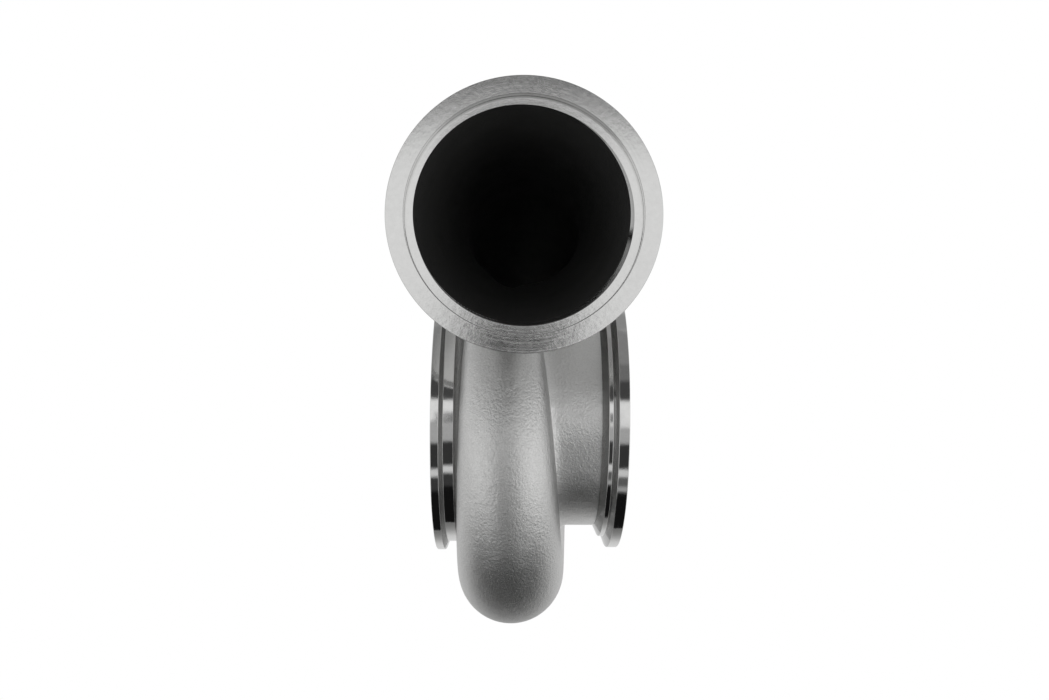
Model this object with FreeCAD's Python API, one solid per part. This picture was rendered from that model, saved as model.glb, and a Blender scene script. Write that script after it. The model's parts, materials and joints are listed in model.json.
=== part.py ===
"""Turbine housing of a turbocharger, with a V-band inlet, a V-band bearing side and a V-band outlet.

X runs along the turbine axis, from the bearing flange's face at x = 0 towards the outlet.
The gas inlet faces -Y, and Z is up. Sizes are in millimetres and angles in degrees. An angle
round the scroll is counted the way the gas flows: 0 at the top, 90 at the back, 180 at the
bottom and 270 at the front, below the inlet.
"""
import FreeCAD, Part
import math
import os
from FreeCAD import Vector

# Casting
scroll_wall = 5.0
neck_wall = 5.1
vband_angle = 20.0

# Bearing flange, from its rim inwards
bearing_rim_r = 53.5
bearing_rim_width = 7.5
bearing_land = 2.9
bearing_groove_depth = 3.2
bearing_hub_length = 3.8
pilot_ledge = 5.0
shield_seat_depth = 2.5
shield_ledge = 5.0

# Wheel chamber, from the bearing side to the outlet
web_length = 13.1
web_backing = 2.3
nozzle_width = 10.0
nozzle_height = 9.8
nozzle_mouth_depth = 3.3
shroud_contour_length = 11.0
shroud_contour_depth = 4.7
shroud_straight = 5.0
shroud_shoulder_length = 3.0

# Outlet
diffuser_length = 16.7
diffuser_rise = 7.2
outlet_land = 3.7
outlet_groove_depth = 4.2
outlet_collar_step = 4.4
outlet_collar_length = 1.55
outlet_cone_length = 2.0

# Scroll passage: its area falls evenly from the top to the end, and a section that is
# larger than the centred one leans from the nozzle towards the outlet
scroll_top_bore_r = 22.4
scroll_end_bore_r = 5.0
scroll_centred_bore_r = 10.9
scroll_lean = 0.55
scroll_gap_angle = 25.0
passage_gap_angle = 10.0
scroll_sections = 24

# Inlet flange, from its rim inwards, and duct
inlet_reach = 98.0
inlet_drop = 3.0
inlet_shift = 1.1
inlet_rim_r = 41.0
inlet_rim_width = 5.4
inlet_land = 3.2
inlet_groove_depth = 3.4
inlet_neck_length = 3.5
inlet_pilot_depth = 3.0
inlet_ledge = 2.3
inlet_chamfer_width = 1.0
inlet_chamfer_depth = 2.0
cast_bore_shift = 0.85
tongue_distance = 38.0
tongue_lift = 2.2
throat_bore_r = 23.4

# Axes
ALONG = Vector(1, 0, 0)
BACK = Vector(0, 1, 0)
UP = Vector(0, 0, 1)
ORIGIN = Vector(0, 0, 0)


def taper(outer_r, inner_r):
    """Axial length of a V-band face between two radii."""
    return (outer_r - inner_r) * math.tan(math.radians(vband_angle))


# Radii round the turbine axis
bearing_hub_r = bearing_rim_r - bearing_groove_depth
bearing_pilot_r = bearing_rim_r - bearing_rim_width
shield_seat_r = bearing_pilot_r - pilot_ledge
wheel_entry_r = shield_seat_r - shield_ledge
passage_inner_r = wheel_entry_r + nozzle_height
web_r = passage_inner_r + web_backing
shroud_r = wheel_entry_r - shroud_contour_depth
outlet_bore_r = shroud_r + diffuser_rise
neck_r = outlet_bore_r + neck_wall
outlet_collar_r = neck_r + outlet_collar_step
outlet_rim_r = outlet_collar_r + outlet_groove_depth

# Stations along the turbine axis
hub_x = bearing_land + taper(bearing_rim_r, bearing_hub_r)
web_x = hub_x + bearing_hub_length
nozzle_x = web_x + web_length
shroud_x = nozzle_x + nozzle_width
neck_x = shroud_x + shroud_contour_length + shroud_straight
outlet_rim_x = neck_x + diffuser_length
outlet_face_x = outlet_rim_x + outlet_land + taper(outlet_rim_r, outlet_collar_r)
collar_x = outlet_rim_x - outlet_collar_length - outlet_cone_length

# Angles where the scroll's wall and its passage end, short of the top
scroll_end_angle = 360 - scroll_gap_angle
passage_end_angle = 360 - passage_gap_angle

# Inlet flange's radii, its centre, set from the top of the scroll, and its stations along Y
inlet_neck_r = inlet_rim_r - inlet_groove_depth
inlet_pilot_r = inlet_rim_r - inlet_rim_width
inlet_chamfer_r = inlet_pilot_r - inlet_ledge
inlet_bore_r = inlet_chamfer_r - inlet_chamfer_width
nozzle_middle_x = nozzle_x + nozzle_width / 2
scroll_top_x = nozzle_middle_x + scroll_lean * (scroll_top_bore_r - scroll_centred_bore_r)
inlet_x = scroll_top_x - inlet_shift
inlet_z = passage_inner_r + scroll_top_bore_r - inlet_drop
inlet_centre = Vector(inlet_x, -inlet_reach, inlet_z)
inlet_rim_depth = inlet_land + taper(inlet_rim_r, inlet_neck_r)
inlet_neck_depth = inlet_rim_depth + inlet_neck_length


def turned(outline, centre, axis, radial):
    """Spin a closed outline of (distance along the axis, radius) points into a solid."""
    corners = [centre + axis * along + radial * radius for along, radius in outline]
    wire = Part.makePolygon(corners + corners[:1])
    return Part.Face(wire).revolve(centre, axis, 360)


def round_turbine_axis(outline):
    return turned(outline, ORIGIN, ALONG, UP)


def round_inlet_axis(outline):
    return turned(outline, inlet_centre, BACK, ALONG)


def circle_wire(centre, axis, radius):
    return Part.Wire([Part.Circle(centre, axis, radius).toShape()])


def scroll_bore_r(angle):
    """Radius of the round gas passage at an angle. It stays the same past the scroll's end."""
    share = min(angle / scroll_end_angle, 1)
    return math.sqrt(scroll_top_bore_r ** 2 * (1 - share) + scroll_end_bore_r ** 2 * share)


def scroll_centre(angle):
    """Centre of the gas passage, which keeps its inner side at one radius."""
    turn = math.radians(angle)
    outward = Vector(0, math.sin(turn), math.cos(turn))
    lean = scroll_lean * (scroll_bore_r(angle) - scroll_centred_bore_r)
    return ALONG * (nozzle_middle_x + lean) + outward * (passage_inner_r + scroll_bore_r(angle))


def scroll_circle(angle, thickness):
    """Section of the scroll at an angle, as a circle grown by a wall's thickness."""
    turn = math.radians(angle)
    flow = Vector(0, math.cos(turn), -math.sin(turn))
    return circle_wire(scroll_centre(angle), flow, scroll_bore_r(angle) + thickness)


def scroll_tube(last_angle, thickness):
    steps = scroll_sections - 1
    angles = [last_angle * step / steps for step in range(scroll_sections)]
    return Part.makeLoft([scroll_circle(angle, thickness) for angle in angles], True, False)


def duct_tube(thickness):
    """Cast duct from the inlet flange's neck over the tongue to the top of the scroll."""
    start = inlet_centre - ALONG * cast_bore_shift + BACK * inlet_neck_depth
    throat_z = passage_inner_r + tongue_lift + throat_bore_r
    throat = Vector(inlet_x, -tongue_distance, throat_z)
    stations = [(start, inlet_bore_r),
                ((start + throat) * 0.5, (inlet_bore_r + throat_bore_r) / 2),
                (throat, throat_bore_r),
                (scroll_centre(0), scroll_top_bore_r)]
    return Part.makeLoft([circle_wire(centre, BACK, bore_r + thickness)
                          for centre, bore_r in stations], True, False)


def turbine_point(station):
    along, radius = station
    return ALONG * along + UP * radius


def straight_edges(stations):
    """Straight edges that join (distance along the turbine axis, radius) points in turn."""
    points = [turbine_point(station) for station in stations]
    return [Part.LineSegment(here, there).toShape() for here, there in zip(points, points[1:])]


def wheel_chamber():
    """Space of the turbine wheel with the nozzle slot that opens it to the scroll."""
    mouth_r = passage_inner_r + nozzle_mouth_depth
    contour_end_x = shroud_x + shroud_contour_length
    entry = [(0, 0), (0, wheel_entry_r), (nozzle_x, wheel_entry_r), (nozzle_x, mouth_r),
             (shroud_x, mouth_r), (shroud_x, wheel_entry_r)]
    exit_side = [(contour_end_x, shroud_r), (neck_x, shroud_r), (outlet_rim_x, outlet_bore_r),
                 (outlet_face_x, outlet_bore_r), (outlet_face_x, 0), (0, 0)]
    half_turn = math.sqrt(0.5)
    contour_middle = (contour_end_x - shroud_contour_length * half_turn,
                      wheel_entry_r - (wheel_entry_r - shroud_r) * half_turn)
    contour = Part.Arc(turbine_point(entry[-1]), turbine_point(contour_middle),
                       turbine_point(exit_side[0])).toShape()
    outline = Part.Wire(straight_edges(entry) + [contour] + straight_edges(exit_side))
    return Part.Face(outline).revolve(ORIGIN, ALONG, 360)


def quarter(y_sign, z_sign):
    """Block over one quarter of the scroll, between two planes through the turbine axis."""
    reach = 2 * (inlet_reach + inlet_rim_r + outlet_face_x)
    corner = Vector(-reach / 2, min(0, y_sign * reach), min(0, z_sign * reach))
    return Part.makeBox(reach, reach, reach, corner)


def bearing_flange_rim():
    return round_turbine_axis([(0, bearing_pilot_r), (0, bearing_rim_r),
                               (bearing_land, bearing_rim_r), (hub_x, bearing_hub_r),
                               (hub_x, bearing_pilot_r)])


def bearing_flange_hub():
    seat_x = hub_x + shield_seat_depth
    return round_turbine_axis([(hub_x, shield_seat_r), (hub_x, bearing_hub_r),
                               (web_x, bearing_hub_r), (web_x, wheel_entry_r),
                               (seat_x, wheel_entry_r), (seat_x, shield_seat_r)])


def outlet_flange_rim():
    return round_turbine_axis([(outlet_rim_x, outlet_bore_r), (outlet_rim_x, outlet_collar_r),
                               (outlet_face_x - outlet_land, outlet_rim_r),
                               (outlet_face_x, outlet_rim_r), (outlet_face_x, outlet_bore_r)])


def outlet_flange_collar(chamber):
    cone_end_x = collar_x + outlet_cone_length
    blank = round_turbine_axis([(collar_x, 0), (collar_x, neck_r), (cone_end_x, outlet_collar_r),
                                (outlet_rim_x, outlet_collar_r), (outlet_rim_x, 0)])
    return blank.cut(chamber)


def outlet_neck(chamber):
    blank = round_turbine_axis([(neck_x, 0), (neck_x, neck_r), (collar_x, neck_r), (collar_x, 0)])
    return blank.cut(chamber)


def wheel_shroud(cutters):
    """Contoured wall round the wheel, with a shoulder that backs the scroll's inner side."""
    shoulder_x = shroud_x + shroud_shoulder_length
    blank = round_turbine_axis([(shroud_x, 0), (shroud_x, web_r), (shoulder_x, web_r),
                                (shoulder_x, neck_r), (neck_x, neck_r), (neck_x, 0)])
    return blank.cut(cutters)


def bearing_side_web(cutters):
    blank = round_turbine_axis([(web_x, 0), (web_x, web_r), (nozzle_x, web_r), (nozzle_x, 0)])
    return blank.cut(cutters)


def inlet_bore():
    """Machined pilot recess and chamfer, on the flange's axis, with the cast bore behind them."""
    chamfer_end_r = inlet_chamfer_r - inlet_chamfer_depth
    chamfer_end = inlet_pilot_depth + inlet_chamfer_depth
    machined = round_inlet_axis([(0, 0), (0, inlet_pilot_r), (inlet_pilot_depth, inlet_pilot_r),
                                 (inlet_pilot_depth, inlet_chamfer_r),
                                 (chamfer_end, chamfer_end_r), (chamfer_end, 0)])
    cast = Part.makeCylinder(inlet_bore_r, inlet_neck_depth,
                             inlet_centre - ALONG * cast_bore_shift, BACK)
    return machined.fuse(cast)


def inlet_flange_rim():
    blank = round_inlet_axis([(0, 0), (0, inlet_rim_r), (inlet_land, inlet_rim_r),
                              (inlet_rim_depth, inlet_neck_r), (inlet_rim_depth, 0)])
    return blank.cut(inlet_bore())


def inlet_flange_neck():
    blank = round_inlet_axis([(inlet_rim_depth, 0), (inlet_rim_depth, inlet_neck_r),
                              (inlet_neck_depth, inlet_neck_r), (inlet_neck_depth, 0)])
    return blank.cut(inlet_bore())


def housing():
    """Name every sub-part of the housing and give its solid."""
    chamber = wheel_chamber()
    scroll = scroll_tube(scroll_end_angle, scroll_wall)
    duct = duct_tube(scroll_wall)
    passages = [duct_tube(0), scroll_tube(passage_end_angle, 0), chamber]
    tail = scroll.common(quarter(-1, 1))
    return {
        "bearing_flange_rim": bearing_flange_rim(),
        "bearing_flange_hub": bearing_flange_hub(),
        "bearing_side_web": bearing_side_web([scroll, duct] + passages),
        "wheel_shroud": wheel_shroud([scroll, duct] + passages),
        "outlet_neck": outlet_neck(chamber),
        "outlet_flange_collar": outlet_flange_collar(chamber),
        "outlet_flange_rim": outlet_flange_rim(),
        "scroll_head": scroll.common(quarter(1, 1)).cut(passages),
        "scroll_back": scroll.common(quarter(1, -1)).cut(passages),
        "scroll_belly": scroll.common(quarter(-1, -1)).cut(passages),
        "scroll_tail": tail.cut([duct] + passages),
        "scroll_tongue": tail.common(duct).cut(passages),
        "inlet_duct": duct.cut([tail] + passages),
        "inlet_flange_neck": inlet_flange_neck(),
        "inlet_flange_rim": inlet_flange_rim(),
    }


os.makedirs("parts", exist_ok=True)
for name, shape in housing().items():
    box = shape.BoundBox
    print(name, "solids", len(shape.Solids), "valid", shape.isValid(),
          "volume", round(shape.Volume, 1), "x", round(box.XMin, 2), round(box.XMax, 2),
          "y", round(box.YMin, 2), round(box.YMax, 2), "z", round(box.ZMin, 2), round(box.ZMax, 2))
    shape.exportStep("parts/" + name + ".step")
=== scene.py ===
# %% [markdown]
# # A turbine housing in cast and turned steel
#
# The object is the hot side of a turbocharger. Molten stainless steel was poured round a wax
# pattern, the rough casting was blasted with fine beads, and a lathe then cut its three round
# ends bright. So two finishes have to meet: a soft satin skin with rounded corners, and crisp
# rings that mirror the studio. The frame gives the real sizes, and every piece is modelled in
# metres right where the frame has it.

# %% Load the frame
import json
import math

import bpy
from mathutils import Euler, Matrix, Vector


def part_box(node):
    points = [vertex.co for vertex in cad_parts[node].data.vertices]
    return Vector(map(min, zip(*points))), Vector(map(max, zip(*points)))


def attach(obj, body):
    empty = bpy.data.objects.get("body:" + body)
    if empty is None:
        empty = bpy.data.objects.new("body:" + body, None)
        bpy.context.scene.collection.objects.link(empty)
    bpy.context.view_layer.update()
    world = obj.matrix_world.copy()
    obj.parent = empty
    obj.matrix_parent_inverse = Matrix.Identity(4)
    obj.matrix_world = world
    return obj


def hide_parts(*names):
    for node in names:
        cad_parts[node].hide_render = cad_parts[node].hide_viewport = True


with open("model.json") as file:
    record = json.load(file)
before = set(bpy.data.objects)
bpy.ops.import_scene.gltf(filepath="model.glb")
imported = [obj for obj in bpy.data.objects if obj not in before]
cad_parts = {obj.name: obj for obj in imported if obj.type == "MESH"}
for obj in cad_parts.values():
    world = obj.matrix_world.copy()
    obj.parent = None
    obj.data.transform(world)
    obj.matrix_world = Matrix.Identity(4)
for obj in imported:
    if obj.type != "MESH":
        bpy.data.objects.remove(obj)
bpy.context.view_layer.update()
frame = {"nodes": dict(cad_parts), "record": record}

mounts = {mount["name"]: mount for mount in frame["record"]["mounts"]}
print("nodes in the frame:", len(frame["nodes"]))

# %% [markdown]
# ## Sizes
#
# A lathe cuts round an axis, so each turned end is known by its centre, its axis and a few
# radii. The frame's boxes and mounts hold most of them. The rest are the widths of lands,
# grooves and bevels, named here once.

# %% Read the turned ends out of the frame
MM = 0.001


def top(node):
    """Highest corner of a node's box."""
    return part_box(node)[1]


def mount_radius(name):
    return mounts[name]["dims"]["r_mm"] * MM


turbine_axis = Vector((1, 0, 0))
inlet_axis = Vector((0, 1, 0))
turbine_centre = Vector((0, 0, 0))
inlet_centre = Vector(mounts["inlet_pilot"]["pos_m"])

bearing_rim_r = top("bearing_flange_rim")[2]
bearing_pilot_r = mount_radius("bearing_pilot")
shield_seat_r = mount_radius("heat_shield_seat")
shield_seat_depth = mounts["heat_shield_seat"]["dims"]["length_mm"] * MM
bearing_hub_r = top("bearing_flange_hub")[2]
hub_x = top("bearing_flange_rim")[0]
web_x = top("bearing_flange_hub")[0]
nozzle_x = top("bearing_side_web")[0]
shroud_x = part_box("wheel_shroud")[0][0]
neck_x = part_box("outlet_neck")[0][0]
collar_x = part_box("outlet_flange_collar")[0][0]
outlet_rim_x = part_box("outlet_flange_rim")[0][0]
outlet_face_x = top("outlet_flange_rim")[0]
outlet_rim_r = top("outlet_flange_rim")[2]
outlet_collar_r = top("outlet_flange_collar")[2]
outlet_bore_r = mount_radius("outlet_bore")
neck_r = top("outlet_neck")[2]
inlet_rim_r = top("inlet_flange_rim")[0] - inlet_centre.x
inlet_neck_r = top("inlet_flange_neck")[0] - inlet_centre.x
inlet_pilot_r = mount_radius("inlet_pilot")
inlet_pilot_depth = mounts["inlet_pilot"]["dims"]["length_mm"] * MM
inlet_rim_depth = top("inlet_flange_rim")[1] - inlet_centre.y
inlet_neck_depth = top("inlet_flange_neck")[1] - inlet_centre.y
print("bearing rim", round(2 * bearing_rim_r / MM, 1), "mm across, inlet rim",
      round(2 * inlet_rim_r / MM, 1), "mm across")

# %% Name the sizes that no box shows
bearing_land = 2.9 * MM
outlet_land = 3.7 * MM
inlet_land = 3.2 * MM
inlet_lip_r = 31.2 * MM
inlet_chamfer_r = 32.8 * MM
cast_mouth_r = 32.5 * MM
cast_mouth_shift = Vector((-0.6, 0, 0.6)) * MM
cast_bore_r = 32.3 * MM
cast_bore_shift = 0.85 * MM
wheel_entry_r = 36.0 * MM
shroud_r = 31.3 * MM
shroud_contour_length = 11.0 * MM
nozzle_mouth_r = 49.1 * MM
flare_length = 2.0 * MM
scroll_wall = 5.0 * MM
clamp_edge_break = 0.25 * MM
inlet_edge_break = 0.12 * MM

# %% [markdown]
# ## Tools for the bench
#
# Blender's operators work on whatever is selected, and loading the frame leaves its meshes
# selected. So everything is deselected before a new piece starts, and a finished piece has its
# place in its mesh, with its own origin at the world's.

# %% Select and finish pieces
def only(*pieces):
    """Selects these pieces alone and makes the first one active."""
    if bpy.context.mode != "OBJECT":
        bpy.ops.object.mode_set(mode="OBJECT")
    bpy.ops.object.select_all(action="DESELECT")
    for piece in pieces:
        piece.select_set(True)
    bpy.context.view_layer.objects.active = pieces[0]


def start_circle(name, vertices, radius, centre, facing, fill):
    """Adds a circle primitive that faces along an axis and opens it for editing."""
    if bpy.context.mode != "OBJECT":
        bpy.ops.object.mode_set(mode="OBJECT")
    bpy.ops.object.select_all(action="DESELECT")
    bpy.ops.mesh.primitive_circle_add(vertices=vertices, radius=radius, fill_type=fill,
                                      location=centre, rotation=facing)
    piece = bpy.context.active_object
    piece.name = name
    bpy.ops.object.transform_apply(location=True, rotation=True, scale=True)
    bpy.ops.object.mode_set(mode="EDIT")
    bpy.ops.mesh.select_all(action="SELECT")
    return piece


def apply_modifier(piece, kind, **settings):
    """Adds a modifier with its settings and applies it to the mesh."""
    only(piece)
    modifier = piece.modifiers.new(kind.title(), kind)
    for setting, value in settings.items():
        setattr(modifier, setting, value)
    bpy.ops.object.modifier_apply(modifier=modifier.name)


ALONG_X = Euler((0, math.radians(90), 0))
ALONG_Y = Euler((math.radians(-90), 0, 0))
RING_SEGMENTS = 192
DISC_SEGMENTS = 48
print("a turned ring has", RING_SEGMENTS, "segments, a cast disc", DISC_SEGMENTS)

# %% [markdown]
# ## Turned rings
#
# A ring from a lathe is one outline carried round an axis. Here a circle is extruded from one
# corner of the outline to the next, and scaled to the radius of that corner, until it is back
# at its start, where the doubled corners merge. A narrow bevel then breaks every sharp edge,
# because a real edge is never perfectly sharp and its thin highlight is what makes metal read
# as metal. Weighted normals keep the wide faces flat up to the bevel.

# %% Turn a ring
RING_EDGE_ANGLE = math.radians(35)
BEVEL_EDGE_ANGLE = math.radians(15)
SAME_CORNER = 0.01 * MM


def flatten_lands(piece):
    """Shades a ring smooth up to its edges and keeps its wide faces flat."""
    only(piece)
    bpy.ops.object.shade_smooth_by_angle(angle=RING_EDGE_ANGLE)
    apply_modifier(piece, "WEIGHTED_NORMAL", keep_sharp=True)


def turn_ring(name, outline, centre, axis, facing, edge_break):
    """Extrudes a circle through (distance along the axis, radius) corners into a closed ring."""
    along, radius = outline[0]
    piece = start_circle(name, RING_SEGMENTS, radius, centre + axis * along, facing, "NOTHING")
    for next_along, next_radius in outline[1:] + outline[:1]:
        place = centre + axis * next_along
        step = axis * (next_along - along)
        bpy.ops.mesh.extrude_region_move(TRANSFORM_OT_translate={"value": step})
        bpy.ops.transform.resize(value=[next_radius / radius] * 3, center_override=place)
        along, radius = next_along, next_radius
    bpy.ops.mesh.select_all(action="SELECT")
    bpy.ops.mesh.remove_doubles(threshold=SAME_CORNER)
    bpy.ops.mesh.normals_make_consistent(inside=False)
    bpy.ops.object.mode_set(mode="OBJECT")
    apply_modifier(piece, "BEVEL", width=edge_break, segments=3, limit_method="ANGLE",
                   angle_limit=BEVEL_EDGE_ANGLE)
    flatten_lands(piece)
    print(name, len(piece.data.polygons), "faces")
    return piece


# %% Turn the bearing-side flange
bearing_flange = turn_ring("bearing_flange", [
    (0, bearing_pilot_r), (0, bearing_rim_r), (bearing_land, bearing_rim_r),
    (hub_x, bearing_hub_r), (web_x, bearing_hub_r), (web_x, wheel_entry_r),
    (hub_x + shield_seat_depth, wheel_entry_r), (hub_x + shield_seat_depth, shield_seat_r),
    (hub_x, shield_seat_r), (hub_x, bearing_pilot_r)],
    turbine_centre, turbine_axis, ALONG_X, clamp_edge_break)

# %% Turn the outlet flange
flare_end_x = collar_x + flare_length
diffuser_share = (collar_x - neck_x) / (outlet_rim_x - neck_x)
collar_bore_r = shroud_r + (outlet_bore_r - shroud_r) * diffuser_share
outlet_flange = turn_ring("outlet_flange", [
    (collar_x, collar_bore_r), (collar_x, neck_r), (flare_end_x, outlet_collar_r),
    (outlet_rim_x, outlet_collar_r), (outlet_face_x - outlet_land, outlet_rim_r),
    (outlet_face_x, outlet_rim_r), (outlet_face_x, outlet_bore_r),
    (outlet_rim_x, outlet_bore_r)],
    turbine_centre, turbine_axis, ALONG_X, clamp_edge_break)

# %% Turn the inlet flange
inlet_flange = turn_ring("inlet_flange", [
    (0, inlet_pilot_r), (0, inlet_rim_r), (inlet_land, inlet_rim_r),
    (inlet_rim_depth, inlet_neck_r), (inlet_neck_depth, inlet_neck_r),
    (inlet_neck_depth, inlet_lip_r),
    (inlet_pilot_depth + inlet_chamfer_r - inlet_lip_r, inlet_lip_r),
    (inlet_pilot_depth, inlet_chamfer_r), (inlet_pilot_depth, inlet_pilot_r)],
    inlet_centre, inlet_axis, ALONG_Y, inlet_edge_break)

# %% [markdown]
# ## The casting
#
# The casting is one skin: a duct that narrows, a scroll that winds round the turbine axis with
# an ever smaller section, and a stout cylinder through the middle. Each form is a disc that is
# extruded along its path. A voxel remesh melts them into one body, and smoothing rounds the
# valleys between them. A wax pattern has a real fillet in each valley. To get one, the discs
# are made larger by the fillet's radius, melted together, and pushed back in along their
# normals: the walls return to their place and every valley keeps that radius. A second remesh
# gives the stretched faces in the valleys an even size again. The gas passage is melted from
# discs too, and then subtracted, so the wall gets its real thickness and the tongue appears by
# itself.

# %% Extrude a disc along a path
def grow(name, stations, facing, vertices=DISC_SEGMENTS):
    """Extrudes a disc through (centre, turn about X since the last one, radius) stations."""
    centre, turn, radius = stations[0]
    piece = start_circle(name, vertices, radius, centre, facing, "NGON")
    for next_centre, turn, next_radius in stations[1:]:
        step = next_centre - centre
        bpy.ops.mesh.extrude_region_move(TRANSFORM_OT_translate={"value": step})
        if turn:
            bpy.ops.transform.rotate(value=turn, orient_axis="X", center_override=next_centre)
        bpy.ops.transform.resize(value=[next_radius / radius] * 3, center_override=next_centre)
        centre, radius = next_centre, next_radius
    bpy.ops.mesh.select_all(action="SELECT")
    bpy.ops.mesh.normals_make_consistent(inside=False)
    bpy.ops.object.mode_set(mode="OBJECT")
    return piece


# %% Lay out the path of the gas
scroll_top_bore_r = 22.4 * MM
scroll_end_bore_r = 5.0 * MM
scroll_centred_bore_r = 10.9 * MM
scroll_lean = 0.55
scroll_end_angle = 335
passage_end_angle = 350
angle_step = 5
throat_bore_r = 23.4 * MM
throat_y = -38.0 * MM
tongue_lift = 2.2 * MM
duct_overrun = 4 * MM
duct_start_y = inlet_centre.y - duct_overrun
duct_steps = 18
nozzle_middle_x = (nozzle_x + shroud_x) / 2
passage_inner_r = top("scroll_head")[2] - scroll_wall - 2 * scroll_top_bore_r


def scroll_bore_r(angle):
    """Radius of the gas passage: its area falls evenly up to the scroll's end."""
    share = min(angle / scroll_end_angle, 1)
    return math.sqrt(scroll_top_bore_r ** 2 * (1 - share) + scroll_end_bore_r ** 2 * share)


def scroll_centre(angle):
    turn = math.radians(angle)
    lean = scroll_lean * (scroll_bore_r(angle) - scroll_centred_bore_r)
    outward = Vector((0, math.sin(turn), math.cos(turn)))
    reach = passage_inner_r + scroll_bore_r(angle)
    return Vector((nozzle_middle_x + lean, 0, 0)) + outward * reach


def duct_station(share, thickness):
    """Centre and radius of the duct, on a smooth curve from the inlet over the throat."""
    start = Vector((inlet_centre.x - cast_bore_shift, inlet_centre.y + inlet_neck_depth,
                    inlet_centre.z))
    throat = Vector((inlet_centre.x, throat_y, passage_inner_r + tongue_lift + throat_bore_r))
    end = scroll_centre(0)
    y = duct_start_y * (1 - share) + end.y * share
    places = [(start, cast_bore_r), ((start + throat) / 2, (cast_bore_r + throat_bore_r) / 2),
              (throat, throat_bore_r), (end, scroll_top_bore_r)]
    centre, radius = Vector((0, y, 0)), thickness
    for here, here_r in places:
        weight = math.prod((y - other.y) / (here.y - other.y)
                           for other, other_r in places if other is not here)
        centre += Vector((here.x, 0, here.z)) * weight
        radius += here_r * weight
    return centre, radius


def gas_path(last_angle, thickness):
    """Stations down the duct and round the scroll."""
    stations = []
    for step in range(duct_steps):
        centre, radius = duct_station(step / duct_steps, thickness)
        stations.append((centre, 0, radius))
    for angle in range(0, last_angle + 1, angle_step):
        turn = math.radians(angle_step) if angle else 0
        stations.append((scroll_centre(angle), turn, scroll_bore_r(angle) + thickness))
    return stations


print("scroll passage", round(2 * scroll_bore_r(0) / MM, 1), "mm wide at the top,",
      round(2 * scroll_bore_r(270) / MM, 1), "mm at the front")

# %% Shape the outside of the casting
OVERLAP = 2 * MM
web_r = top("bearing_side_web")[2]
shoulder_x = shroud_x + 3 * MM
shoulder_width = 0.1 * MM
melt_voxel = 0.9 * MM
skin_voxel = 1.2 * MM
fillet_r = 2.0 * MM
smoothing_loss = 0.2 * MM
swelling = fillet_r + smoothing_loss


def along_turbine_axis(outline):
    """Stations on the turbine axis from (distance along it, radius) corners."""
    return [(turbine_axis * along, 0, radius) for along, radius in outline]


core = grow("core", along_turbine_axis(
    [(web_x - OVERLAP - swelling, web_r + swelling), (shoulder_x, web_r + swelling),
     (shoulder_x + shoulder_width, neck_r + swelling),
     (collar_x + OVERLAP + swelling, neck_r + swelling)]), ALONG_X, vertices=RING_SEGMENTS)
cast_body = grow("cast_body", gas_path(passage_end_angle + angle_step, scroll_wall + swelling),
                 ALONG_Y)
apply_modifier(cast_body, "SUBSURF", levels=2, render_levels=2)
only(cast_body, core)
bpy.ops.object.join()
apply_modifier(cast_body, "REMESH", mode="VOXEL", voxel_size=melt_voxel)
apply_modifier(cast_body, "SMOOTH", factor=0.5, iterations=16)
apply_modifier(cast_body, "DISPLACE", strength=-fillet_r, mid_level=0)
apply_modifier(cast_body, "REMESH", mode="VOXEL", voxel_size=skin_voxel)
apply_modifier(cast_body, "SMOOTH", factor=0.5, iterations=10)
print("skin", len(cast_body.data.polygons), "faces")

# %% Shape the gas passage
void_voxel = 1.8 * MM
passage = grow("passage", gas_path(passage_end_angle, 0), ALONG_Y)
apply_modifier(passage, "SUBSURF", levels=2, render_levels=2)
apply_modifier(passage, "REMESH", mode="VOXEL", voxel_size=void_voxel)
apply_modifier(passage, "SMOOTH", factor=0.5, iterations=6)
print("passage", len(passage.data.polygons), "faces")

# %% Shape the mouth of the duct
mouth_share = 1 / 3
mouth_inset = 1 * MM
mouth_end, mouth_end_r = duct_station(mouth_share, -mouth_inset)
mouth_centre = inlet_centre + cast_mouth_shift
mouth = grow("mouth", [
    (mouth_centre - inlet_axis * OVERLAP, 0, cast_mouth_r),
    (mouth_centre + inlet_axis * inlet_neck_depth, 0, cast_mouth_r),
    (mouth_end, 0, mouth_end_r)], ALONG_Y, vertices=RING_SEGMENTS)
print("mouth", round((mouth_end - mouth_centre).length / MM, 1), "mm deep")

# %% Shape the wheel chamber and the blocks that the lathe cuts away
contour_end_x = shroud_x + shroud_contour_length
contour_depth = wheel_entry_r - shroud_r
contour_steps = 12
contour = []
for step in range(contour_steps + 1):
    turn = math.radians(90 * step / contour_steps)
    contour.append((contour_end_x - shroud_contour_length * math.cos(turn),
                    wheel_entry_r - contour_depth * math.sin(turn)))
chamber = grow("wheel_chamber", along_turbine_axis(
    [(web_x - OVERLAP, wheel_entry_r), (nozzle_x, wheel_entry_r), (nozzle_x, nozzle_mouth_r),
     (shroud_x, nozzle_mouth_r)] + contour +
    [(neck_x, shroud_r), (outlet_rim_x, outlet_bore_r), (outlet_face_x, outlet_bore_r)]),
    ALONG_X, vertices=RING_SEGMENTS)
bearing_cut = grow("bearing_cut", along_turbine_axis(
    [(-OVERLAP, bearing_hub_r), (web_x, bearing_hub_r)]), ALONG_X)
outlet_cut = grow("outlet_cut", along_turbine_axis(
    [(collar_x, outlet_rim_r), (outlet_face_x + OVERLAP, outlet_rim_r)]), ALONG_X)
inlet_cut = grow("inlet_cut", [
    (inlet_centre - inlet_axis * 3 * OVERLAP, 0, inlet_rim_r),
    (inlet_centre + inlet_axis * inlet_neck_depth, 0, inlet_rim_r)], ALONG_Y)
print("wheel chamber", len(chamber.data.polygons), "faces")

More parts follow.
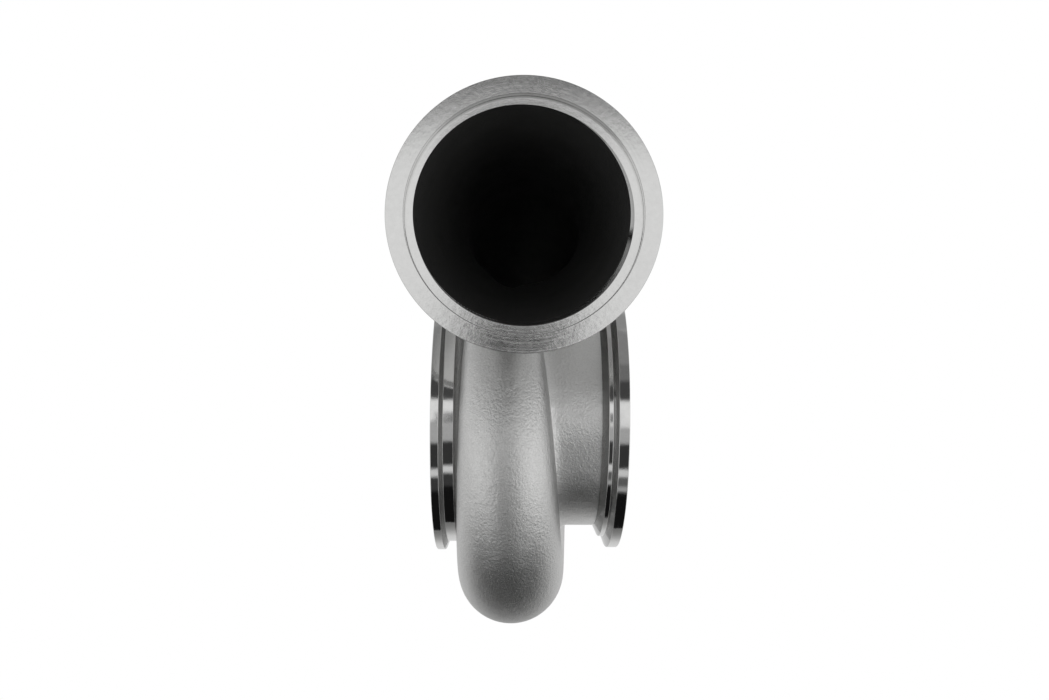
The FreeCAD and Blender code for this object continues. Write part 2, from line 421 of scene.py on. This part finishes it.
# %% [markdown]
# ## Finishes
#
# Shader maths reads best as arithmetic, so a small class lets Python's operators add Math
# nodes. Everything is laid out in Object coordinates, which are metres here: a noise with a
# scale of 900 has grains of about a millimetre.

# %% Write shader maths as expressions
class Number:
    """A number socket. Each operator adds a Math node and gives its result."""

    def __init__(self, graph, socket):
        self.graph = graph
        self.socket = socket

    def maths(self, operation, first, second=0.0):
        node = self.graph.node("ShaderNodeMath", {"operation": operation}, {0: first, 1: second})
        return Number(self.graph, node.outputs[0])

    def __add__(self, other):
        return self.maths("ADD", self, other)

    def __sub__(self, other):
        return self.maths("SUBTRACT", self, other)

    def __rsub__(self, other):
        return self.maths("SUBTRACT", other, self)

    def __mul__(self, other):
        return self.maths("MULTIPLY", self, other)

    def __abs__(self):
        return self.maths("ABSOLUTE", self)

    def larger(self, other):
        return self.maths("MAXIMUM", self, other)

    __radd__ = __add__
    __rmul__ = __mul__


class Graph:
    """The nodes of a material or of the world."""

    def __init__(self, owner):
        owner.use_nodes = True
        self.owner = owner
        self.tree = owner.node_tree

    def node(self, kind, settings=None, inputs=None):
        """Adds a node: its settings first, then the values or links of its sockets."""
        node = self.tree.nodes.new(kind)
        for setting, value in (settings or {}).items():
            setattr(node, setting, value)
        for key, value in (inputs or {}).items():
            self.feed(node.inputs[key], value)
        return node

    def feed(self, socket, value):
        """Links a socket, or sets its value when it gets a plain one."""
        if isinstance(value, Number):
            value = value.socket
        if isinstance(value, bpy.types.NodeSocket):
            self.tree.links.new(value, socket)
        else:
            socket.default_value = value

    def spread(self, value, low, high):
        """Stretches the part of a value from low to high over 0 to 1, with soft ends."""
        node = self.node("ShaderNodeMapRange", {"interpolation_type": "SMOOTHSTEP"}, {
            "Value": value, "From Min": low, "From Max": high})
        return Number(self, node.outputs["Result"])

    def window(self, value, low, high, soft):
        """1 where a value lies between low and high, fading out over a soft border."""
        return self.spread(value, low - soft, low + soft) * (
            1 - self.spread(value, high - soft, high + soft))


class Finish(Graph):
    """A material under construction, with its Principled shader."""

    def __init__(self, name, metallic):
        super().__init__(bpy.data.materials.new(name))
        self.shader = self.tree.nodes["Principled BSDF"]
        self.shader.inputs["Metallic"].default_value = metallic
        self.place = self.node("ShaderNodeTexCoord").outputs["Object"]

    def noise(self, scale, detail=2.0, roughness=0.5):
        """Noise in the material's own place, from 0 to 1."""
        node = self.node("ShaderNodeTexNoise", None, {
            "Vector": self.place, "Scale": scale, "Detail": detail, "Roughness": roughness})
        return Number(self, node.outputs["Fac"])

    def blend(self, factor, first, second):
        """Blends two colours."""
        node = self.node("ShaderNodeMix", {"data_type": "RGBA"}, {
            "Factor": factor, "A": first, "B": second})
        return node.outputs["Result"]

    def vector(self, operation, first, second=None):
        """Vector maths that gives a vector."""
        inputs = {0: first} if second is None else {0: first, 1: second}
        return self.node("ShaderNodeVectorMath", {"operation": operation}, inputs).outputs[0]

    def measure(self, operation, first, second=None):
        """Vector maths that gives a number."""
        inputs = {0: first} if second is None else {0: first, 1: second}
        node = self.node("ShaderNodeVectorMath", {"operation": operation}, inputs)
        return Number(self, node.outputs["Value"])

    def scaled(self, vector, factor):
        node = self.node("ShaderNodeVectorMath", {"operation": "SCALE"}, {
            0: vector, "Scale": factor})
        return node.outputs[0]

    def bump(self, height, distance):
        """Normal of a surface that stands up by this height times a distance in metres."""
        node = self.node("ShaderNodeBump", None, {
            "Height": height, "Distance": distance, "Strength": 1.0})
        return node.outputs["Normal"]

    def paint(self, **sockets):
        """Feeds the Principled shader's sockets, named with underscores."""
        for name, value in sockets.items():
            self.feed(self.shader.inputs[name.replace("_", " ").title()], value)
        return self.owner


def grey(value):
    return (value, value, value * 0.99, 1)


# %% [markdown]
# ### Blasted casting
#
# Bead blasting leaves a satin skin with an orange-peel ripple: dimples about a millimetre
# across, lying on a slower swell from the wax. Both are in the bump. The colour only drifts
# a little, with darker specks where the surface is pitted. The outlet neck is a shade brighter
# and smoother, as if it was dressed by hand, so the distance from the turbine axis blends in a
# lighter grey there. That grey is partly the dressed finish and partly painted light, standing
# in for a sheen that this studio doesn't give the neck.

# %% Mix the blasted finish
def blasted_steel():
    """Satin steel with dimples, painted a little lighter on the neck: dressed finish and painted
    light.
    """
    finish = Finish("blasted_steel", 1.0)
    drift = finish.noise(55, 3)
    swell = finish.noise(260, 2)
    dimples = finish.noise(1150, 2, 0.6)
    grit = finish.noise(3200, 1)
    specks = finish.spread(finish.noise(1500, 3), 0.62, 0.74)
    pebble = finish.spread(finish.noise(1900, 2), 0.3, 0.7)
    height = swell * 0.8 + dimples + grit * 0.4
    radius = finish.measure("LENGTH", finish.vector("CROSS_PRODUCT", finish.place, (1, 0, 0)))
    # painted light: the neck gets a lighter grey, partly its dressed finish and partly a painted
    # sheen
    dressed_neck_and_painted_light = 1 - finish.spread(radius, neck_r + 0.5 * MM, neck_r + 3 * MM)
    colour = finish.blend(drift * 0.5 + pebble * 0.5, grey(0.53), grey(0.70))
    colour = finish.blend(specks * 0.35, colour, grey(0.30))
    colour = finish.blend(dressed_neck_and_painted_light * 0.4, colour, grey(0.95))
    return finish.paint(base_color=colour, roughness=0.36 + drift * 0.12 - dressed_neck_and_painted_light * 0.05,
                        normal=finish.bump(height, 0.18 * MM))


# %% [markdown]
# ### Bore in painted shade
#
# Inside, no bead reaches the wall, and it stays rough. Its colour is painted almost black:
# painted shade for the inside of the passage, where little light gets in.

# %% Mix the dark bore
def painted_shade_bore():
    """The wall of the gas passage, painted almost black as painted shade."""
    finish = Finish("painted_shade_bore", 1.0)
    drift = finish.noise(90, 3)
    grain = finish.noise(900, 3)
    # painted shade: the passage wall is painted almost black
    return finish.paint(base_color=finish.blend(drift, grey(0.13), grey(0.19)),
                        roughness=0.5 + grain * 0.1,
                        normal=finish.bump(drift * 2 + grain, 0.08 * MM))


# %% [markdown]
# ### Turned steel
#
# A lathe tool leaves hundreds of fine grooves that run round the axis. Each groove tips the
# surface a little across itself, never along itself, so a reflection is smeared across the
# grooves and stays sharp along them: a flat face gets its bow-tie sheen and a rim its crisp
# bands. The normal is tipped here in that one direction, by noise that changes only with the
# distance along the outline. The sloping clamp faces also get a darker colour. The photograph
# shows them dark, which on the real part is probably a reflection, and this studio doesn't
# darken them enough. Such a colour stays dark in any other light too, which is its price.

# %% Mix the turned finish
GROOVES_PER_METRE = 26000
RADIUS_TO_LENGTH = 1.3


def turned_steel(name, centre, axis, tip, dent):
    """Steel turned about an axis: tip tilts its flat faces' grooves, dent is a depth."""
    finish = Finish(name, 1.0)
    surface = finish.node("ShaderNodeNewGeometry").outputs["Normal"]
    arm = finish.vector("SUBTRACT", finish.place, tuple(centre))
    ring = finish.vector("CROSS_PRODUCT", tuple(axis), arm)
    across = finish.vector("CROSS_PRODUCT", surface, finish.vector("NORMALIZE", ring))
    along = finish.measure("DOT_PRODUCT", arm, tuple(axis))
    outline = along + finish.measure("LENGTH", ring) * RADIUS_TO_LENGTH
    grooves = Number(finish, finish.node(
        "ShaderNodeTexNoise", {"noise_dimensions": "1D"},
        {"W": outline * GROOVES_PER_METRE, "Scale": 1.0, "Detail": 1.0}).outputs["Fac"])
    facing = abs(finish.measure("DOT_PRODUCT", surface, tuple(axis)))
    smudge = finish.noise(600, 4, 0.65)
    haze = finish.spread(finish.noise(45, 3), 0.35, 0.75)
    depth = (0.05 + finish.spread(facing, 0.9, 1.0) * tip) * (0.5 + smudge)
    tipped = finish.vector("ADD", surface, finish.scaled(across, (grooves - 0.5) * depth))
    dented = finish.node("ShaderNodeBump", None, {
        "Height": smudge, "Distance": dent, "Strength": 1.0,
        "Normal": finish.vector("NORMALIZE", tipped)})
    clamp_face = finish.window(facing, 0.7, 0.97, 0.02)
    colour = finish.blend(smudge, grey(0.62), grey(0.74))
    colour = finish.blend(clamp_face * 0.75, colour, grey(0.16))
    return finish.paint(base_color=colour, roughness=0.05 + haze * 0.05,
                        normal=dented.outputs["Normal"])


# %% Put the finishes on
cast_finish = blasted_steel()
painted_shade_bore_finish = painted_shade_bore()
turbine_finish = turned_steel("turned_turbine_ends", turbine_centre, turbine_axis,
                              tip=0.5, dent=0.010 * MM)
inlet_finish = turned_steel("turned_inlet", inlet_centre, inlet_axis,
                            tip=0.2, dent=0.017 * MM)
for piece, finish in ((cast_body, cast_finish), (passage, painted_shade_bore_finish), (mouth, painted_shade_bore_finish),
                      (chamber, turbine_finish), (bearing_cut, turbine_finish),
                      (outlet_cut, turbine_finish), (inlet_cut, inlet_finish),
                      (bearing_flange, turbine_finish), (outlet_flange, turbine_finish),
                      (inlet_flange, inlet_finish)):
    piece.data.materials.append(finish)
print("finishes:", [material.name for material in bpy.data.materials])

# %% [markdown]
# ## Cutting the casting
#
# Each cutter is subtracted in turn and hands its own finish to the faces that it leaves. The
# ends come out flat and crisp, as the lathe leaves them, and the passages keep their painted
# shade. The core that formed the duct sat a little under a millimetre off the flange's axis. Its
# mouth cuts the inlet ring too, so the ring's chamfer shows on one side only.

# %% Cut the passages and the ends
def cut(piece, cutter):
    """Subtracts a cutter, which leaves its finish on the faces it makes."""
    apply_modifier(piece, "BOOLEAN", operation="DIFFERENCE", object=cutter,
                   solver="MANIFOLD", material_mode="TRANSFER")
    print(cutter.name, "cuts", piece.name, "to", len(piece.data.polygons), "faces")


cut(inlet_flange, mouth)
for cutter in (passage, chamber, bearing_cut, outlet_cut, inlet_cut, mouth):
    cut(cast_body, cutter)
    bpy.data.objects.remove(cutter)
flatten_lands(inlet_flange)
only(cast_body)
CAST_EDGE_ANGLE = math.radians(40)
bpy.ops.object.shade_smooth_by_angle(angle=CAST_EDGE_ANGLE)
cast_body.data.calc_loop_triangles()
print("casting", len(cast_body.data.loop_triangles), "triangles")

# %% Hand the pieces to the frame
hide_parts("scroll_head", "scroll_back", "scroll_belly", "scroll_tail",
            "scroll_tongue", "inlet_duct", "bearing_side_web", "wheel_shroud", "outlet_neck")
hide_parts("bearing_flange_rim", "bearing_flange_hub")
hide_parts("outlet_flange_rim", "outlet_flange_collar")
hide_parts("inlet_flange_rim", "inlet_flange_neck")
for piece in (cast_body, bearing_flange, outlet_flange, inlet_flange):
    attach(piece, "root")
    print(piece.name, "rides on the root body")

# %% [markdown]
# ## Studio
#
# The housing was photographed straight into its inlet, a little above the turbine axis, with
# a wide lens close by. Polished steel shows nothing but its surroundings, so the room matters
# more than any lamp. The bright and dark bands along the flange rims tell what stood where: a
# white wall at eye level all round, a dark gap above it, a grey ceiling, and darkness below
# the lens. The room is painted on the world as rectangles on a sphere, with soft borders, and
# their numbers were adjusted until the reflections looked like the photograph's. One of them is
# negative: it stands for the camera, which hides a bit of the bright wall and so darkens the
# foot of the inlet's face. The sum is kept from falling below zero.

# %% Set the camera
FRAME_WIDTH = 1049
FOCAL_PIXELS = 919.0
camera_data = bpy.data.cameras.new("camera")
camera_data.sensor_width = 36.0
camera_data.lens = camera_data.sensor_width * FOCAL_PIXELS / FRAME_WIDTH
camera_data.clip_start = 0.01
camera = bpy.data.objects.new("camera", camera_data)
bpy.context.collection.objects.link(camera)
bpy.context.scene.camera = camera
camera_place = Vector((28.618, -368.115, 25.142)) * MM
yaw, pitch, roll = math.radians(-0.646), math.radians(0.028), math.radians(0.575)
camera.matrix_world = (Matrix.Translation(camera_place) @ Matrix.Rotation(yaw, 4, "Z")
                       @ Matrix.Rotation(math.radians(90) + pitch, 4, "X")
                       @ Matrix.Rotation(roll, 4, "Z"))
print("lens", round(camera_data.lens, 2), "mm")

# %% Paint the room
room_parts = [
    # sides seen from the lens in degrees, elevations in degrees, radiance
    ((0, 30), (-63, -58), 0.40),
    ((0, 30), (-58, -49), 0.12),
    ((-30, 0), (-62, -49), 0.04),
    ((-30, 30), (-49, -42), 0.72),
    ((-30, 30), (-42, -20.5), 0.035),
    ((-30, 30), (-20.5, -2.7), 0.46),
    ((0, 30), (-7, -2.7), 0.40),
    ((-30, 30), (-2.7, 14.6), 0.92),
    ((-3.4, 4), (-3.4, 4.2), -0.90),
    ((-30, 30), (14.6, 31), 0.06),
    ((-30, 30), (31, 45), 0.18),
    ((-30, 30), (45, 78), 0.26),
    ((-70, -30), (-60, -35), 0.70),
    ((30, 70), (-60, -35), 0.65),
    ((-115, -30), (-35, 15), 0.98),
    ((30, 115), (-35, 15), 1.12),
    ((-115, -30), (21, 78), 0.45),
    ((30, 115), (21, 78), 0.38),
    ((-190, -115), (-40, 35), 0.85),
    ((115, 190), (-40, 35), 0.95),
    ((-190, -115), (35, 78), 0.60),
    ((115, 190), (35, 78), 0.60),
    ((-190, 190), (78, 95), 0.32)]
SOFT_BORDER = 2.2
world = bpy.data.worlds.new("studio")
bpy.context.scene.world = world
room = Graph(world)
looking = room.node("ShaderNodeSeparateXYZ", None, {
    "Vector": room.node("ShaderNodeTexCoord").outputs["Generated"]})
right, away, up = (Number(room, looking.outputs[part]) for part in "XYZ")
side = right.maths("ARCTAN2", right, away * -1) * math.degrees(1)
elevation = up.maths("ARCSINE", up) * math.degrees(1)
FAINT_LIGHT = 0.008
light = FAINT_LIGHT
for sides, elevations, radiance in room_parts:
    light = light + (room.window(side, *sides, SOFT_BORDER)
                     * room.window(elevation, *elevations, SOFT_BORDER) * radiance)
rays = room.node("ShaderNodeLightPath")
seen = Number(room, rays.outputs["Is Camera Ray"])
shade = room.node("ShaderNodeBackground", None, {"Color": light.larger(seen)})
room.feed(room.tree.nodes["World Output"].inputs["Surface"], shade.outputs[0])
print("room of", len(room_parts), "parts")

# %% [markdown]
# ### Floor
#
# The white table ends under the housing, which is held in the air above it. Its edge is what
# the undersides of the flanges show: black in front of it, and behind it a white that gets
# brighter the further back it lies. That brightness is painted light: the table's colour gets
# lighter towards the back and it glows there as if lit from behind, though it is no lamp. The
# camera itself sees plain white there, which Light Path tells apart from the rays the metal
# reflects.

# %% Lay the table
TABLE_Z = -0.15
TABLE_EDGE_Y = 0.002
TABLE_GLOW_Y = 0.10
TABLE_GLOW = 0.6
table_half = 1.5
bpy.ops.object.select_all(action="DESELECT")
bpy.ops.mesh.primitive_plane_add(size=2 * table_half,
                                 location=(0, TABLE_EDGE_Y + table_half, TABLE_Z))
table = bpy.context.active_object
table.name = "table"
paper = Finish("white_paper", 0.0)
depth = Number(paper, paper.node("ShaderNodeSeparateXYZ", None, {
    "Vector": paper.place}).outputs["Y"])
# painted light: a lighter colour and a glow towards the back of the table, as if lit from behind
painted_light_towards_back = paper.spread(depth, -table_half, TABLE_GLOW_Y - table_half)
paper.paint(base_color=paper.blend(painted_light_towards_back, grey(0.45), grey(0.70)),
            roughness=0.75 + paper.noise(3) * 0.1)
direct = Number(paper, paper.node("ShaderNodeLightPath").outputs["Is Camera Ray"])
glow = paper.node("ShaderNodeEmission", None, {"Strength": 1.0})
either = paper.node("ShaderNodeMixShader", None, {
    0: direct.larger(painted_light_towards_back * TABLE_GLOW),
    1: paper.shader.outputs[0], 2: glow.outputs[0]})
paper.feed(paper.tree.nodes["Material Output"].inputs["Surface"], either.outputs[0])
table.data.materials.append(paper.owner)
print("table", 2 * table_half, "m across at height", TABLE_Z)

# %% Set the view transform
scene = bpy.context.scene
scene.view_settings.view_transform = "Standard"
